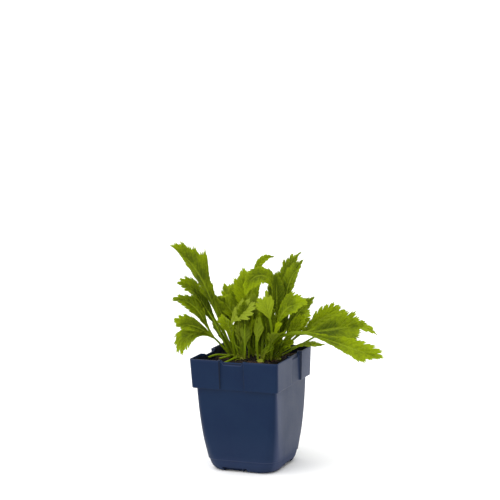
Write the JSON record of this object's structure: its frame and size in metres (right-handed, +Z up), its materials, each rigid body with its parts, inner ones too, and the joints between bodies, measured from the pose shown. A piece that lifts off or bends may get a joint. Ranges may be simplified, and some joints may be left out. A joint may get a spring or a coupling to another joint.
{
  "type": "potted oxeye daisy",
  "caption": "Young oxeye daisy plant, spoon-shaped toothed leaves in rosettes, growing in a square nursery pot with a raised collar.",
  "frame": {"origin": "centre of the underside of the pot, on the surface that it stands on", "axes": "+Z up; the front of the pot faces -Y and +X is to the right of someone who looks at that front"},
  "size_m": [0.2311, 0.1448, 0.2237],
  "materials": {
    "pot_plastic": "dark blue injection-moulded plastic, satin",
    "soil": "moist peaty compost, dull",
    "leaf_green": "fresh green leaf, satin"
  },
  "bodies": {
    "root": {"pot": "pot_plastic", "potting_soil": "soil", "rosette_left": "leaf_green", "rosette_front": "leaf_green", "rosette_middle": "leaf_green", "rosette_right": "leaf_green", "rosette_back": "leaf_green"}
  },
  "joints": []
}
